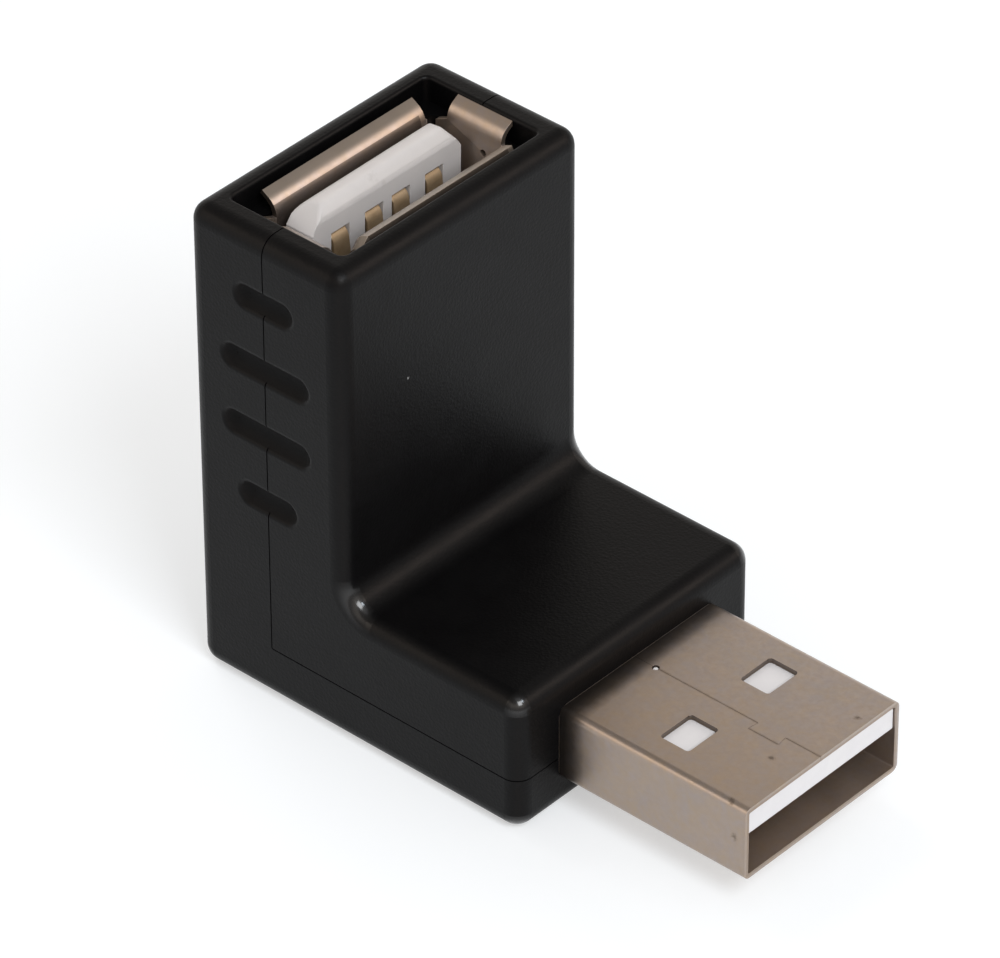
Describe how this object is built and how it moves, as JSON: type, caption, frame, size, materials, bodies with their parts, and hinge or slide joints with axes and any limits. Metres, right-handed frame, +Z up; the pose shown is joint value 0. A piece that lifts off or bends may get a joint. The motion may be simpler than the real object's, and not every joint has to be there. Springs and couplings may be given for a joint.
{
  "type": "usb adapter",
  "caption": "Right-angle connector adapter: an L-shaped moulded housing with a flat metal plug at the end of its foot and a matching socket that opens upward from its stem.",
  "frame": {"origin": "middle of the outline, on the plane of the underside", "axes": "+X along the plug towards its mouth, +Z up and out of the socket's mouth, +Y across both connectors"},
  "size_m": [0.0346, 0.0182, 0.0289],
  "materials": {
    "housing_plastic": "fine-textured black moulding, soft gloss on the rounded edges",
    "plated_sheet": "folded sheet with a worn, slightly tarnished nickel plating",
    "insulator_plastic": "white moulded insulator, satin",
    "contact_metal": "stamped strip with a thin gold flash",
    "board_laminate": "glass-fibre laminate under green lacquer",
    "solder_metal": "bright tin solder"
  },
  "bodies": {
    "root": {"rear_shell": "housing_plastic", "front_shell": "housing_plastic", "plug_shield": "plated_sheet", "socket_shield": "plated_sheet", "plug_insulator": "insulator_plastic", "socket_insulator": "insulator_plastic", "circuit_board": "board_laminate", "plug_contact_power": "contact_metal", "plug_contact_data_minus": "contact_metal", "plug_contact_data_plus": "contact_metal", "plug_contact_ground": "contact_metal", "socket_contact_power": "contact_metal", "socket_contact_data_minus": "contact_metal", "socket_contact_data_plus": "contact_metal", "socket_contact_ground": "contact_metal", "plug_tail_solder": "solder_metal", "plug_tab_solder": "solder_metal", "socket_pin_solder": "solder_metal", "socket_leg_solder": "solder_metal"}
  },
  "joints": []
}
